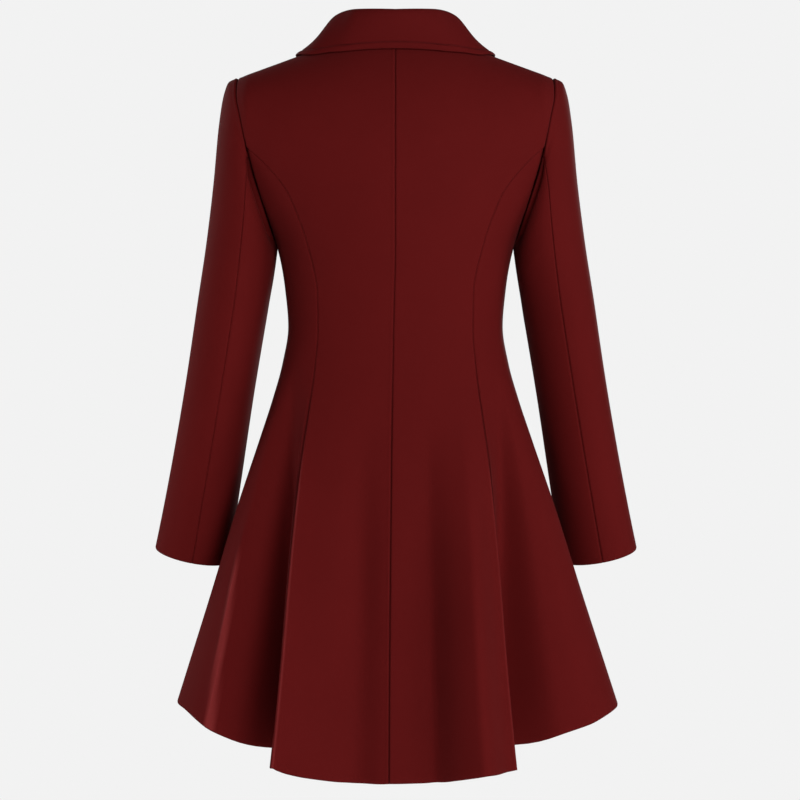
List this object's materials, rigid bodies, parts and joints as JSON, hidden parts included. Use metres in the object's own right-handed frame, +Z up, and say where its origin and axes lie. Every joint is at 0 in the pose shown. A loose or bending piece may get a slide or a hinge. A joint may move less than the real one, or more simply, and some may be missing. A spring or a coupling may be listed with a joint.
{
  "type": "princess-seam coat",
  "caption": "Fitted, flared coat with princess seams, two-piece sleeves, a turn-down collar, a longer back hem and a plain buttoned front, filled out and hollow",
  "frame": {"origin": "on the centre line at mid-shoulder height, between the shoulder seams, where the wearer's shoulders carry the coat", "axes": "+Z up; the wearer faces -Y, so +Y is the back that the picture shows; +X is the wearer's left"},
  "size_m": [0.6041, 0.404, 0.9123],
  "materials": {
    "coat_cloth": "smooth, closely milled burgundy coat cloth with a short soft nap and a faint sheen",
    "collar_cloth": "the same burgundy coat cloth, two layers pressed, edge-stitched",
    "button_resin": "plain dark burgundy resin, softly polished"
  },
  "bodies": {
    "root": {"back_left": "coat_cloth", "side_back_left": "coat_cloth", "side_front_left": "coat_cloth", "front_left": "coat_cloth", "sleeve_upper_left": "coat_cloth", "sleeve_under_left": "coat_cloth", "back_right": "coat_cloth", "side_back_right": "coat_cloth", "side_front_right": "coat_cloth", "front_right": "coat_cloth", "sleeve_upper_right": "coat_cloth", "sleeve_under_right": "coat_cloth", "collar": "collar_cloth", "button_1": "button_resin", "button_2": "button_resin", "button_3": "button_resin", "button_4": "button_resin", "button_5": "button_resin"}
  },
  "joints": []
}
